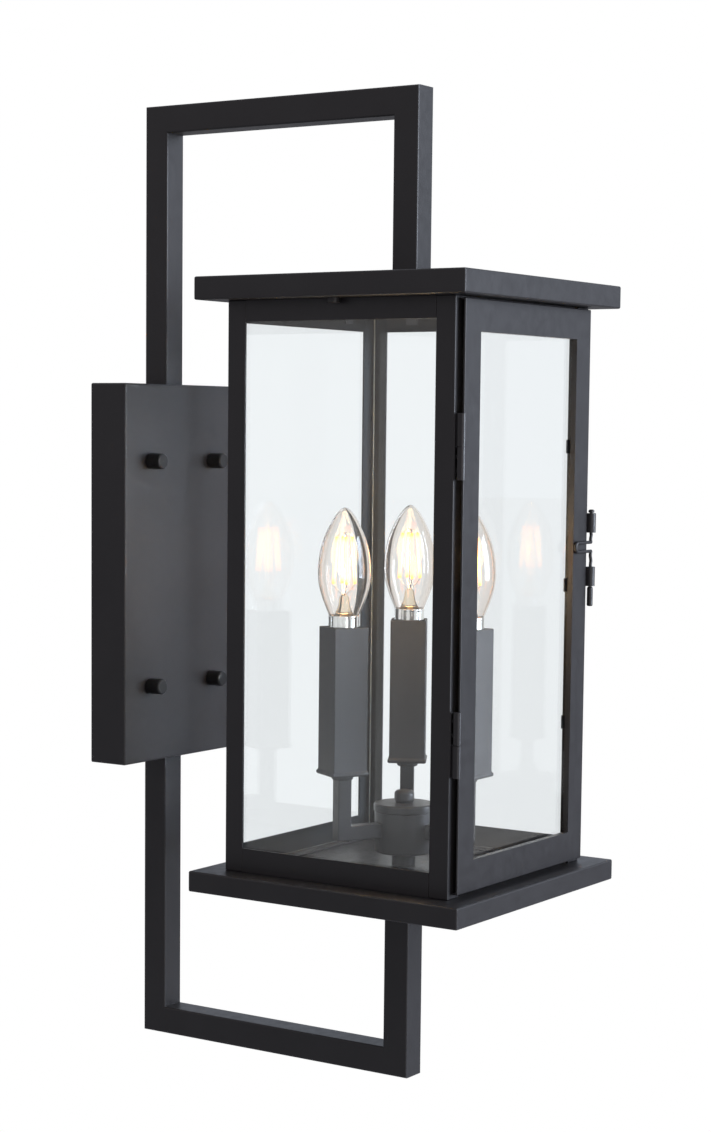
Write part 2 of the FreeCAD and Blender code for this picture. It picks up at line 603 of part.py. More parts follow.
clear_bore = "nipple_dia + 2 * nipple_gap"
node("stem_nipple", nipple())
node("nipple_nuts", group(nipple_nut("(cage_floor - sheet - nipple_nut_height)"),
                          nipple_nut("(hub_bottom + hub_wall)")))
node("stem_tube", cut(on_axis("stem_dia", "cage_floor", "hub_bottom"),
                      on_axis(clear_bore, "cage_floor - 1", "hub_bottom + 1")))


def arm_opening(angle):
    opening = box(("0", "-arm_side / 2", "0"), ("hub_dia", "arm_side", "arm_side"))
    return place(group(opening), ("0", AXIS_Y, "arm_z - arm_side / 2"),
                 FreeCAD.Rotation(FreeCAD.Vector(0, 0, 1), angle))


lid_low = "(hub_top - lid_thick)"
hub_shell = cut(on_axis("hub_dia", "hub_bottom", lid_low),
                on_axis("hub_dia - 2 * hub_wall", "hub_bottom + hub_wall", "hub_top"),
                on_axis(clear_bore, "hub_bottom - 1", "hub_top"),
                *[arm_opening(angle) for angle in CANDLES.values()])
node("hub_body", hub_shell)
lid_rim = cut(on_axis("lid_dia", "(%s - lid_skirt)" % lid_low, lid_low),
              on_axis("hub_dia + 2 * nipple_gap", "(%s - lid_skirt - 1)" % lid_low, "%s + 0.01" % lid_low))
node("hub_lid", cut(fuse(on_axis("lid_dia", lid_low, "hub_top"), lid_rim),
                    on_axis(clear_bore, "%s - 1" % lid_low, "hub_top + 1")))
knob_round = solid("Sphere", {"Radius": "knob_crown_radius"},
                   ("0", AXIS_Y, "hub_top + knob_height - knob_crown_radius"))
knob_blank = doc.addObject("Part::MultiCommon", "common")
knob_blank.Shapes = [on_axis("knob_dia", "hub_top", "hub_top + knob_height"), knob_round]
node("hub_knob", cut(knob_blank, on_axis(clear_bore, "hub_top - 1", "%s + 0.2" % nipple_high)))


# ---------------------------------------------------------------- candles, built radially along local +X
def arm_shape():
    """Square tube out of the hub, mitred up into the sleeve and on to the socket."""
    half = "(arm_side / 2)"
    start = "(hub_dia / 2 - arm_inset)"
    run = "(candle_radius + %s - %s)" % (half, start)
    climb = "(socket_top - socket_height - arm_z + %s)" % half

    def bar(skin, length, at, along, inward):
        low, high = skin, "(arm_side - %s)" % skin
        return solid("Wedge", {"Xmin": low, "Xmax": length, "X2min": high, "X2max": length,
                               "Ymin": low, "Ymax": high, "Zmin": low, "Zmax": high,
                               "Z2min": low, "Z2max": high}, at, frame_turn(along, inward))
    corner_x = "candle_radius + %s" % half
    corner_z = "arm_z - %s" % half
    skins = ("0", "arm_wall")
    level = [bar(skin, run, (corner_x, "-" + half, corner_z), (-1, 0, 0), (0, 0, 1)) for skin in skins]
    upright = [bar(skin, climb, (corner_x, half, corner_z), (0, 0, 1), (-1, 0, 0)) for skin in skins]
    return fuse(cut(*level), cut(*upright))


def sleeve_shape():
    def square(side, low, high):
        return box(("candle_radius - (%s) / 2" % side, "-(%s) / 2" % side, low),
                   (side, side, "%s - (%s)" % (high, low)))
    wall = square("sleeve_side", "sleeve_bottom", "sleeve_top")
    skirt = square("sleeve_side + 2 * skirt_proud", "sleeve_bottom", "sleeve_bottom + skirt_height")
    boss = rod("boss_dia", "boss_height", ("candle_radius", "0", "sleeve_bottom - boss_height"))
    hollow = square("sleeve_side - 2 * sleeve_wall", "sleeve_bottom + sleeve_wall", "sleeve_top + 1")
    passage = square("arm_side", "sleeve_bottom - boss_height - 1", "sleeve_bottom + 2 * sleeve_wall")
    return cut(fuse(wall, skirt, boss), hollow, passage)


def socket_shape():
    low = "(socket_top - socket_height)"
    body = rod("socket_dia", "socket_height", ("candle_radius", "0", low))
    bore = rod("cap_dia + 2 * socket_clearance", "socket_bore_depth + 1",
               ("candle_radius", "0", "socket_top - socket_bore_depth"))
    wire_way = rod("lead_dia + 2 * socket_clearance", "lead_socket_depth + 2",
                   ("candle_radius", "0", "%s - 1" % low))
    return cut(body, bore, wire_way)


def cap_shape():
    """Collar, screw cap and centre contact of one bulb, as one turned piece."""
    collar = rod("collar_dia", "bulb_glass_bottom - collar_bottom", ("candle_radius", "0", "collar_bottom"))
    seat = rod("bulb_neck_dia - bulb_seat_step", "bulb_seat_depth + 1",
               ("candle_radius", "0", "bulb_glass_bottom - bulb_seat_depth"))
    shell = rod("cap_dia", "cap_length", ("candle_radius", "0", "collar_bottom - cap_length"))
    contact = rod("contact_dia", "contact_height",
                  ("candle_radius", "0", "collar_bottom - cap_length - contact_height"))
    return cut(fuse(collar, shell, contact), seat)


def envelope_profile(shrink):
    """Candle envelope from the neck to the tip, as a smooth curve in the local XZ plane."""
    neck = number("bulb_neck_dia") / 2 - shrink
    widest = number("bulb_dia") / 2 - shrink
    low = number("bulb_glass_bottom")
    top = number("bulb_glass_top") - shrink
    level = number("bulb_widest")
    rise = top - level
    centre = number("candle_radius")
    points = [(neck, low), (neck + 0.35 * (widest - neck), low + 0.22 * (level - low)),
              (neck + 0.86 * (widest - neck), low + 0.62 * (level - low)), (widest, level),
              (0.905 * widest, level + 0.36 * rise), (0.62 * widest, level + 0.68 * rise),
              (0.27 * widest, level + 0.92 * rise), (0.0, top)]
    curve = Part.BSplineCurve()
    curve.interpolate([FreeCAD.Vector(centre + r, 0, z) for r, z in points])
    return curve.toShape(), low


def turned(profile, low):
    foot = FreeCAD.Vector(number("candle_radius"), 0, low)
    edge = Part.makeLine(foot, profile.Vertexes[0].Point)
    spine = Part.makeLine(profile.Vertexes[-1].Point, foot)
    face = Part.Face(Part.Wire([edge, profile, spine]))
    return face.revolve(foot, FreeCAD.Vector(0, 0, 1), 360)


def glass_shape():
    outside = turned(*envelope_profile(0.0))
    inside = turned(*envelope_profile(number("bulb_wall")))
    return made(outside.cut(inside))


def filament_shape():
    """Glass stem with its spider and the leaning light rods that stand round it."""
    centre = FreeCAD.Vector(number("candle_radius"), 0, 0)
    low = number("filament_low")
    high = low + number("filament_length")
    bottom = number("bulb_glass_bottom")
    wide = number("filament_low_radius")
    narrow = number("filament_high_radius")
    thick = number("filament_dia") / 2

    def level(z):
        return centre + FreeCAD.Vector(0, 0, z)

    flare_foot = number("bulb_neck_dia - bulb_seat_step") / 2 - number("pane_play")
    flare = Part.makeCone(flare_foot, number("glass_stem_dia") / 2, number("glass_flare_height"),
                          level(bottom - number("bulb_seat_depth")))
    stem = Part.makeCylinder(number("glass_stem_dia") / 2, low - bottom - 2, level(bottom))
    spread = number("filament_spread")
    wire = number("filament_wire_dia") / 2
    mast_low = low - 1.5 * spread
    mast = Part.makeCylinder(number("filament_mast_dia") / 2, high - mast_low + spread / 2, level(mast_low))
    pieces = [stem, mast]
    for index in range(int(number("filament_count"))):
        angle = math.radians(45 + 360 / number("filament_count") * index)
        foot = centre + FreeCAD.Vector(wide * math.cos(angle), wide * math.sin(angle), low)
        head = centre + FreeCAD.Vector(narrow * math.cos(angle), narrow * math.sin(angle), high)
        pieces.append(Part.makeCylinder(thick, (head - foot).Length, foot, head - foot))
        for end, hold in ((foot, level(low - spread)), (head, level(high))):
            pieces.append(Part.makeCylinder(wire, (end - hold).Length, hold, end - hold))
    return made(flare.fuse(pieces))


def corner_arc(start, corner, end):
    """A quarter circle that leaves start towards the corner and arrives at end."""
    centre = start + end - corner
    middle = centre + (corner - centre) * math.sqrt(0.5)
    return Part.Arc(start, middle, end).toShape()


def lead_shape():
    """One lamp's lead: out of the nipple along the arm, round its corner and up to the socket."""
    start = number("lead_start")
    out = number("candle_radius")
    level = number("arm_z")
    bend = number("lead_bend")
    top = number("socket_top - socket_height + lead_socket_depth")
    path = Part.Wire([
        Part.makeLine(FreeCAD.Vector(start, 0, level), FreeCAD.Vector(out - bend, 0, level)),
        corner_arc(FreeCAD.Vector(out - bend, 0, level), FreeCAD.Vector(out, 0, level),
                   FreeCAD.Vector(out, 0, level + bend)),
        Part.makeLine(FreeCAD.Vector(out, 0, level + bend), FreeCAD.Vector(out, 0, top)),
    ])
    return round_sweep(path, number("lead_dia"), FreeCAD.Vector(start, 0, level), FreeCAD.Vector(1, 0, 0))


def round_sweep(path, dia, start, heading):
    section = Part.Wire([Part.Circle(start, heading, dia / 2).toShape()])
    return path.makePipeShell([section], True, False)


leads = []
for name, angle in CANDLES.items():
    at = ("0", AXIS_Y, "0")
    node(name + "_arm", arm_shape(), at, angle)
    node(name + "_sleeve", sleeve_shape(), at, angle)
    node(name + "_socket", socket_shape(), at, angle)
    node(name + "_bulb_cap", cap_shape(), at, angle)
    node(name + "_bulb_glass", glass_shape(), at, angle)
    node(name + "_bulb_filament", filament_shape(), at, angle)
    lead = lead_shape()
    lead.rotate(FreeCAD.Vector(0, 0, 0), FreeCAD.Vector(0, 0, 1), angle)
    lead.translate(FreeCAD.Vector(0, number(AXIS_Y), 0))
    leads.append(lead)
node("lamp_leads", made(Part.Compound(leads)))
node("latch_catch", latch_catch())


# ---------------------------------------------------------------- feed cable
def feed_cable():
    """From the wiring space into the back leg, down, along the bottom bar and up to the hub."""
    leg_y = number("-leg_gap - tube_side / 2")
    front_y = number(AXIS_Y)
    bar_z = number(LOOP_BOTTOM) + number("tube_side / 2")
    entry = number("cable_entry_z")
    small = number("cable_entry_bend")
    large = number("cable_bend")
    left = -number("cable_entry_out")
    top = number("hub_bottom + hub_wall")
    tail = number("cable_tail")
    vec = FreeCAD.Vector
    turns = [
        (vec(left, leg_y, entry + small), vec(left, leg_y, entry), vec(left + small, leg_y, entry)),
        (vec(-small, leg_y, entry), vec(0, leg_y, entry), vec(0, leg_y, entry - small)),
        (vec(0, leg_y, bar_z + large), vec(0, leg_y, bar_z), vec(0, leg_y - large, bar_z)),
        (vec(0, front_y + large, bar_z), vec(0, front_y, bar_z), vec(0, front_y, bar_z + large)),
    ]
    begin = vec(left, leg_y, entry + small + tail)
    edges = []
    at = begin
    for turn in turns:
        edges.append(Part.makeLine(at, turn[0]))
        edges.append(corner_arc(*turn))
        at = turn[2]
    edges.append(Part.makeLine(at, vec(0, front_y, top)))
    path = Part.Wire(edges)
    shape = round_sweep(path, number("cable_dia"), begin, vec(0, 0, -1))
    expected = path.Length * math.pi * number("cable_dia") ** 2 / 4
    print("feed cable length %.1f mm, volume ratio %.4f" % (path.Length, shape.Volume / expected))
    return made(shape)


node("feed_cable", feed_cable())

# ---------------------------------------------------------------- check and export
doc.removeObject("scratch_cell")
doc.recompute()
faults = []
for feature in doc.Objects:
    if "Invalid" in feature.State or "Error" in feature.State:
        faults.append("%s (%s): %s" % (feature.Name, feature.Label, feature.State))
for feature in NODES:
    shape = feature.Shape
    if shape.isNull() or not shape.isValid() or not shape.Solids:
        faults.append("%s has no valid solid" % feature.Label)
if faults:
    raise RuntimeError("; ".join(faults))
os.makedirs("parts", exist_ok=True)
for feature in NODES:
    feature.Shape.exportStep("parts/%s.step" % feature.Label)
print("%d sub-parts written" % len(NODES))
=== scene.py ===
"""Looks of the outdoor wall lantern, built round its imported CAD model.

Frame, in metres: the wall is the plane Y = 0, the lantern stands off it towards -Y, +Z is up.
Sizes written in millimetres are multiplied by MM.  Places come from the CAD nodes' boxes.
"""
import json
import math

import bmesh
import bpy
from mathutils import Matrix, Vector

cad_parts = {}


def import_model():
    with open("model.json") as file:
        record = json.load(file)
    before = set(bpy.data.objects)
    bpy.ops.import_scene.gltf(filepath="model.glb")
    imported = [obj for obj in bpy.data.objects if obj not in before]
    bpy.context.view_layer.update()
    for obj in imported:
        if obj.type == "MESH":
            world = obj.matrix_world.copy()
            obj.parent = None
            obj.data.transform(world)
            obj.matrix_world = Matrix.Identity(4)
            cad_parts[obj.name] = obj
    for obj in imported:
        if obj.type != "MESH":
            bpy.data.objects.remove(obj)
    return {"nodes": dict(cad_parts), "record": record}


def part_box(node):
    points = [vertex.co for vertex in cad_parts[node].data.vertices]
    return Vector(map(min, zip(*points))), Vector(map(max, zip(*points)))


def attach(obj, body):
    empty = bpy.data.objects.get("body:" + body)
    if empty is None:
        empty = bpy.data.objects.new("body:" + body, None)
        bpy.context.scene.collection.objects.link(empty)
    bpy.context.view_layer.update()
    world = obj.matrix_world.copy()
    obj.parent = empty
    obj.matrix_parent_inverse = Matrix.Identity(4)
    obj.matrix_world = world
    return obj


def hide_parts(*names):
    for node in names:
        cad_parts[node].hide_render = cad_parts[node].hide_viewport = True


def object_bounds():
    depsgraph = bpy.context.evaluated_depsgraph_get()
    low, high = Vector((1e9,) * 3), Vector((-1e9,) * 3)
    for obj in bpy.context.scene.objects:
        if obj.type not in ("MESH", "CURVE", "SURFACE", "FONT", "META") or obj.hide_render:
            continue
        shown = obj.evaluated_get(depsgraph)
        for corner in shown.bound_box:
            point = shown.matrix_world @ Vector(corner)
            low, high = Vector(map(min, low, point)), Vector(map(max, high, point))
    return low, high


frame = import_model()
CAD_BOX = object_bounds()
MM = 0.001
CANDLES = {"front": 270.0, "left": 150.0, "right": 30.0}
UP = Vector((0, 0, 1))
SIDEWAYS = Vector((1, 0, 0))


# ------------------------------------------------------------------ materials
def new_material(name):
    """A material with an empty Principled setup; returns the material, its nodes, links and shader."""
    material = bpy.data.materials.new(name)
    material.use_nodes = True
    tree = material.node_tree
    return material, tree.nodes, tree.links, tree.nodes["Principled BSDF"]


def object_noise(nodes, links, scale, detail=3.0, stretch=(1, 1, 1)):
    """Noise fixed to the piece, in the row frame; scale is in cycles per metre."""
    place = nodes.new("ShaderNodeTexCoord")
    mapping = nodes.new("ShaderNodeMapping")
    mapping.inputs["Scale"].default_value = stretch
    noise = nodes.new("ShaderNodeTexNoise")
    noise.inputs["Scale"].default_value = scale
    noise.inputs["Detail"].default_value = detail
    links.new(place.outputs["Object"], mapping.inputs["Vector"])
    links.new(mapping.outputs["Vector"], noise.inputs["Vector"])
    return noise.outputs["Fac"]


def spread(nodes, links, source, low, high):
    """Maps the middle of a noise to the range low to high."""
    ranged = nodes.new("ShaderNodeMapRange")
    ranged.inputs["From Min"].default_value = 0.3
    ranged.inputs["From Max"].default_value = 0.7
    ranged.inputs["To Min"].default_value = low
    ranged.inputs["To Max"].default_value = high
    links.new(source, ranged.inputs["Value"])
    return ranged.outputs["Result"]


def blend_colours(nodes, links, factor, first, second):
    """Mixes two colours; either can be a socket."""
    mix = nodes.new("ShaderNodeMix")
    mix.data_type = "RGBA"
    for socket, colour in ((mix.inputs["A"], first), (mix.inputs["B"], second)):
        if isinstance(colour, tuple):
            socket.default_value = (*colour, 1)
        else:
            links.new(colour, socket)
    links.new(factor, mix.inputs["Factor"])
    return mix.outputs["Result"]


def relief(nodes, links, shader, height, depth):
    """Raises the shader's surface by a height pattern, depth metres at the most."""
    bump = nodes.new("ShaderNodeBump")
    bump.inputs["Distance"].default_value = depth
    links.new(height, bump.inputs["Height"])
    links.new(bump.outputs["Normal"], shader.inputs["Normal"])


def coated(name, dark, light, smooth, rough, grain, depth):
    """Sprayed or powder-coated metal: two close colours, patchy gloss and a fine orange peel."""
    material, nodes, links, shader = new_material(name)
    patches = object_noise(nodes, links, 28.0, 4.0)
    links.new(blend_colours(nodes, links, spread(nodes, links, patches, 0, 1), dark, light),
              shader.inputs["Base Color"])
    gloss = object_noise(nodes, links, 160.0, 3.0)
    links.new(spread(nodes, links, gloss, smooth, rough), shader.inputs["Roughness"])
    relief(nodes, links, shader, object_noise(nodes, links, grain, 2.0), depth)
    shader.inputs["Specular IOR Level"].default_value = 0.5
    return material


def metal(name, dark, light, smooth, rough, stretch=(1, 1, 1), depth=0.00001):
    """Bare plated metal with fine streaks in its colour, gloss and relief."""
    material, nodes, links, shader = new_material(name)
    streaks = object_noise(nodes, links, 420.0, 3.0, stretch)
    links.new(blend_colours(nodes, links, spread(nodes, links, streaks, 0, 1), dark, light),
              shader.inputs["Base Color"])
    links.new(spread(nodes, links, streaks, smooth, rough), shader.inputs["Roughness"])
    relief(nodes, links, shader, streaks, depth)
    shader.inputs["Metallic"].default_value = 1.0
    return material


def moulded(name, dark, light, smooth, rough):
    """A finely speckled, slightly rough surface: moulded plastic, rubber or ground glass."""
    material, nodes, links, shader = new_material(name)
    speckle = object_noise(nodes, links, 700.0, 2.0)
    links.new(blend_colours(nodes, links, spread(nodes, links, speckle, 0, 1), dark, light),
              shader.inputs["Base Color"])
    links.new(spread(nodes, links, speckle, smooth, rough), shader.inputs["Roughness"])
    relief(nodes, links, shader, speckle, 0.00003)
    return material


def clear_glass(name, tint, waviness, painted_rim_glow=None, bend=1.46):
    """Clear glass that lets lamps through, faintly wavy; its optional rim colour is a painted warm
    glow of the lit rods, tinted in where the glass is seen edge on.

    bend is its index of refraction; a solid that stands for a thin shell has a low one.
    """
    material, nodes, links, shader = new_material(name)
    shader.inputs["Base Color"].default_value = (*tint, 1)
    if painted_rim_glow:
        # painted warm glow: the rods' light, coloured into the glass where it is seen edge on
        facing = nodes.new("ShaderNodeLayerWeight")
        facing.inputs["Blend"].default_value = 0.18
        painted_glow_tint = blend_colours(nodes, links, facing.outputs["Facing"], tint, painted_rim_glow)
        links.new(painted_glow_tint, shader.inputs["Base Color"])
    shader.inputs["Roughness"].default_value = 0.0
    shader.inputs["IOR"].default_value = bend
    shader.inputs["Transmission Weight"].default_value = 1.0
    relief(nodes, links, shader, object_noise(nodes, links, 14.0, 1.0), waviness)
    through = nodes.new("ShaderNodeBsdfTransparent")
    through.inputs["Color"].default_value = (*tint, 1)
    path = nodes.new("ShaderNodeLightPath")
    mix = nodes.new("ShaderNodeMixShader")
    links.new(path.outputs["Is Shadow Ray"], mix.inputs["Fac"])
    links.new(shader.outputs["BSDF"], mix.inputs[1])
    links.new(through.outputs["BSDF"], mix.inputs[2])
    links.new(mix.outputs["Shader"], nodes["Material Output"].inputs["Surface"])
    return material


def glowing(name, core, tip, low, high, strength):
    """The phosphor of the light rods: white-hot along the middle and amber at both ends.

    low and high are the heights of the ends, in metres.
    """
    material, nodes, links, shader = new_material(name)
    place = nodes.new("ShaderNodeTexCoord")
    split = nodes.new("ShaderNodeSeparateXYZ")
    links.new(place.outputs["Object"], split.inputs["Vector"])
    from_middle = nodes.new("ShaderNodeMath")
    from_middle.operation = "SUBTRACT"
    from_middle.inputs[1].default_value = (low + high) / 2
    links.new(split.outputs["Z"], from_middle.inputs[0])
    either_way = nodes.new("ShaderNodeMath")
    either_way.operation = "ABSOLUTE"
    links.new(from_middle.outputs["Value"], either_way.inputs[0])
    towards_end = nodes.new("ShaderNodeMapRange")
    towards_end.inputs["From Min"].default_value = 0.36 * (high - low)
    towards_end.inputs["From Max"].default_value = 0.48 * (high - low)
    links.new(either_way.outputs["Value"], towards_end.inputs["Value"])
    glow = blend_colours(nodes, links, towards_end.outputs["Result"], core, tip)
    links.new(glow, shader.inputs["Emission Color"])
    shader.inputs["Emission Strength"].default_value = strength
    beads = spread(nodes, links, object_noise(nodes, links, 900.0, 1.0), 0, 1)
    links.new(blend_colours(nodes, links, beads, core, tip), shader.inputs["Base Color"])
    links.new(spread(nodes, links, beads, 0.5, 0.7), shader.inputs["Roughness"])
    return material


# The light rods, in millimetres: heights of their ends, and the ends' distances from the lamp's axis.
ROD_LOW, ROD_HIGH = 1.0, 32.0
ROD_FOOT, ROD_HEAD = 7.3, 5.1
ROD_RADIUS = 1.1
ROD_COUNT = 4
MATERIALS = {
    "satin_black": coated("satin_black", (0.0155, 0.0146, 0.0158), (0.0195, 0.0184, 0.0198),
                          0.33, 0.41, 900.0, 0.00001),
    "sleeve_black": coated("sleeve_black", (0.0165, 0.016, 0.0175), (0.022, 0.0215, 0.023),
                           0.48, 0.58, 1400.0, 0.000006),
    "cap_nut_black": coated("cap_nut_black", (0.004, 0.004, 0.0045), (0.007, 0.007, 0.0075),
                            0.28, 0.36, 800.0, 0.000006),
    "clear_glass": clear_glass("clear_glass", (0.942, 0.962, 0.970), 0.00001),
    # the bulb glass's last colour is a painted warm glow of the rods at its edges
    "bulb_glass": clear_glass("bulb_glass", (0.955, 0.945, 0.935), 0.000002, (0.80, 0.50, 0.27)),
    "filament": glowing("filament", (1.0, 0.62, 0.25), (1.0, 0.24, 0.04),
                        ROD_LOW * MM, ROD_HIGH * MM, 3.1),
    "lamp_cap": metal("lamp_cap", (0.70, 0.69, 0.67), (0.82, 0.81, 0.79), 0.12, 0.22, (1, 1, 0.1)),
    "zinc": metal("zinc", (0.50, 0.51, 0.52), (0.66, 0.67, 0.68), 0.30, 0.46),
    "socket_plastic": moulded("socket_plastic", (0.022, 0.022, 0.022), (0.034, 0.033, 0.032),
                              0.45, 0.60),
    "wire_jacket": moulded("wire_jacket", (0.014, 0.014, 0.014), (0.022, 0.022, 0.022), 0.40, 0.55),
}
GROUND_EDGE = moulded("ground_glass_edge", (0.30, 0.33, 0.325), (0.42, 0.46, 0.45), 0.25, 0.45)
THIN_SHELL_BEND = 1.13
# Painted glow: the stem's amber tint and its deeper edge-on tint stand for the rods' warm light
# glinting in clear glass.
STEM_GLASS = clear_glass("lamp_stem_glass", (0.98, 0.88, 0.72), 0.000002, (0.90, 0.56, 0.26),
                         THIN_SHELL_BEND)
SLOT_OF = {part["node"]: part["material_slot"] for part in frame["record"]["subparts"]}
BODY_OF = {node: body for body, members in frame["record"]["behaviour"]["bodies"].items()
           for node in members}

for node_name, node_object in frame["nodes"].items():
    node_object.data.materials.clear()
    node_object.data.materials.append(MATERIALS[SLOT_OF[node_name]])


# ------------------------------------------------------------------ mesh helpers
def finish_piece(name, mesh_data, nodes, material=None, smooth_angle=40.0, slot=None):
    """Turns a bmesh into a shaded object that rides on its body and stands for its CAD nodes.

    The material is the one for the first node's slot, unless another slot or a material is given.
    """
    bmesh.ops.recalc_face_normals(mesh_data, faces=mesh_data.faces)
    mesh = bpy.data.meshes.new(name)
    mesh_data.to_mesh(mesh)
    mesh_data.free()
    slot = slot or SLOT_OF[nodes[0]]
    mesh.materials.append(material or MATERIALS[slot])
    mesh.shade_smooth()
    mesh.set_sharp_from_angle(angle=math.radians(smooth_angle))
    piece = bpy.data.objects.new(name, mesh)
    bpy.context.scene.collection.objects.link(piece)
    weighted = piece.modifiers.new("weighted normals", "WEIGHTED_NORMAL")
    weighted.keep_sharp = True
    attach(piece, BODY_OF[nodes[0]])
    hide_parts(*nodes)
    return piece


def bridge(mesh_data, rings, closed_path=False, capped=True):
    """Joins rings of equally many vertices into a skin."""
    count = len(rings[0])
    pairs = list(zip(rings, rings[1:]))
    if closed_path:
        pairs.append((rings[-1], rings[0]))
    for first, second in pairs:
        for index in range(count):
            following = (index + 1) % count
            mesh_data.faces.new((first[index], first[following], second[following], second[index]))
    if capped and not closed_path:
        mesh_data.faces.new(list(reversed(rings[0])))
        mesh_data.faces.new(rings[-1])


def soften(points, radius, steps=3, closed=False):
    """Rounds the corners of an outline of (across, height) points."""
    result = []
    count = len(points)
    for index, point in enumerate(points):
        here = Vector(point)
        if not closed and index in (0, count - 1):
            result.append(here)
            continue
        before = Vector(points[index - 1]) - here
        after = Vector(points[(index + 1) % count]) - here
        reach = min(radius, before.length * 0.45, after.length * 0.45)
        start = here + before.normalized() * reach
        end = here + after.normalized() * reach
        for step in range(steps + 1):
            part = step / steps
            result.append(start * (1 - part) ** 2 + here * (2 * part * (1 - part)) + end * part ** 2)
    return result


def lathe(mesh_data, outline, centre, segments=72, closed=False, axis=UP):
    """Revolves an outline of (radius, height) in millimetres about an axis through centre."""
    side = axis.orthogonal().normalized()
    other = axis.cross(side)
    rings = []
    for radius, height in outline:
        ring = []
        for index in range(segments):
            angle = 2 * math.pi * index / segments
            across = (side * math.cos(angle) + other * math.sin(angle)) * max(radius, 0.01) * MM
            ring.append(mesh_data.verts.new(centre + across + axis * height * MM))
        rings.append(ring)
    bridge(mesh_data, rings, closed)


def rounded_square(half, corner, steps=4):
    """Points round a square with rounded corners, as (x, y) pairs."""
    corner = min(corner, half * 0.95)
    points = []
    for quarter in range(4):
        middle = Vector((half - corner, half - corner))
        for step in range(steps + 1):
            angle = math.pi / 2 * step / steps
            point = middle + Vector((math.cos(angle), math.sin(angle))) * corner
            turn = Matrix.Rotation(math.pi / 2 * quarter, 2)
            points.append(turn @ point)
    return points


def square_stack(mesh_data, outline, corner, centre, turn, closed=False):
    """Like lathe, but round a square with rounded corners: outline holds (half width, height)."""
    spin = Matrix.Rotation(math.radians(turn), 3, "Z")
    rings = []
    for half, height in outline:
        ring = []
        for point in rounded_square(half * MM, corner * MM):
            across = spin @ Vector((point.x, point.y, 0))
            ring.append(mesh_data.verts.new(centre + across + UP * height * MM))
        rings.append(ring)
    bridge(mesh_data, rings, closed)


def square_tube(mesh_data, path, across, side, corner, first_cut=None, last_cut=None):
    """Sweeps a rounded square along straight runs in the plane square to across, with mitred corners.

    A cut is the normal of an end plane that isn't square to its run.
    """
    section = rounded_square(side / 2, corner)
    rings = []
    for index, point in enumerate(path):
        arriving = (point - path[index - 1]).normalized() if index else None
        leaving = (path[index + 1] - point).normalized() if index < len(path) - 1 else None
        if arriving is None:
            plane = first_cut or leaving
            heading = leaving
        elif leaving is None:
            plane = last_cut or arriving
            heading = arriving
        else:
            plane = (arriving + leaving).normalized()
            heading = arriving
        over = heading.cross(across)
        ring = []
        for offset in section:
            corner_point = point + across * offset.x + over * offset.y
            slide = (point - corner_point).dot(plane) / heading.dot(plane)
            ring.append(mesh_data.verts.new(corner_point + heading * slide))
        rings.append(ring)
    bridge(mesh_data, rings)


def round_bar(mesh_data, path, radius, segments=16, ends=1.0):
    """Sweeps a circle along a smooth line of points; ends scales the last ring for a soft tip."""
    across = (path[1] - path[0]).normalized().orthogonal().normalized()
    rings = []
    for index, point in enumerate(path):
        ahead = path[min(index + 1, len(path) - 1)]
        behind = path[max(index - 1, 0)]
        heading = (ahead - behind).normalized()
        across = (across - heading * across.dot(heading)).normalized()
        over = heading.cross(across)
        size = radius * (ends if index in (0, len(path) - 1) else 1.0)
        ring = []
        for step in range(segments):
            angle = 2 * math.pi * step / segments
            aside = across * math.cos(angle) + over * math.sin(angle)
            ring.append(mesh_data.verts.new(point + aside * size))
        rings.append(ring)
    bridge(mesh_data, rings)


def smooth_line(points, per_span=8):
    """A Catmull-Rom line through the points."""
    padded = [points[0] * 2 - points[1], *points, points[-1] * 2 - points[-2]]
    line = []
    for index in range(1, len(padded) - 2):
        a, b, c, d = padded[index - 1:index + 3]
        for step in range(per_span):
            t = step / per_span
            line.append(0.5 * ((2 * b) + (c - a) * t + (2 * a - 5 * b + 4 * c - d) * t * t
                               + (3 * b - a - 3 * c + d) * t ** 3))
    line.append(points[-1])
    return line


MERGE_DISTANCE = 2e-6
FLAT_ANGLE = math.radians(0.6)
CORNER_ANGLE = math.radians(50)


def eased(node, width, fine=0.2, main=None, segments=3):
    """Replaces a CAD node by the same shape with its outside edges rounded.

    width is the radius in millimetres of the edges that main accepts, fine that of the others.
    """
    mesh_data = bmesh.new()
    mesh_data.from_mesh(frame["nodes"][node].data)
    bmesh.ops.remove_doubles(mesh_data, verts=mesh_data.verts, dist=MERGE_DISTANCE)
    bmesh.ops.dissolve_limit(mesh_data, angle_limit=FLAT_ANGLE, verts=mesh_data.verts,
                             edges=mesh_data.edges)
    for radius, wanted in ((width, True), (fine, False)):
        edges = []
        for edge in mesh_data.edges:
            if not edge.is_manifold or not edge.is_convex or edge.calc_face_angle(0) < CORNER_ANGLE:
                continue
            middle = (edge.verts[0].co + edge.verts[1].co) / 2
            if (main is None or main(middle)) == wanted:
                edges.append(edge)
        if edges and radius > 0:
            bmesh.ops.bevel(mesh_data, geom=edges, offset=radius * MM,
                            segments=segments if wanted else 2, profile=0.5, affect="EDGES",
                            clamp_overlap=True)
    return finish_piece(node + "_shell", mesh_data, [node])


def middle_of(node):
    """The middle of a CAD node's box at rest."""
    low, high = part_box(node)
    return (low + high) / 2


# ------------------------------------------------------------------ bracket loop
LOOP_CORNER = 1.3


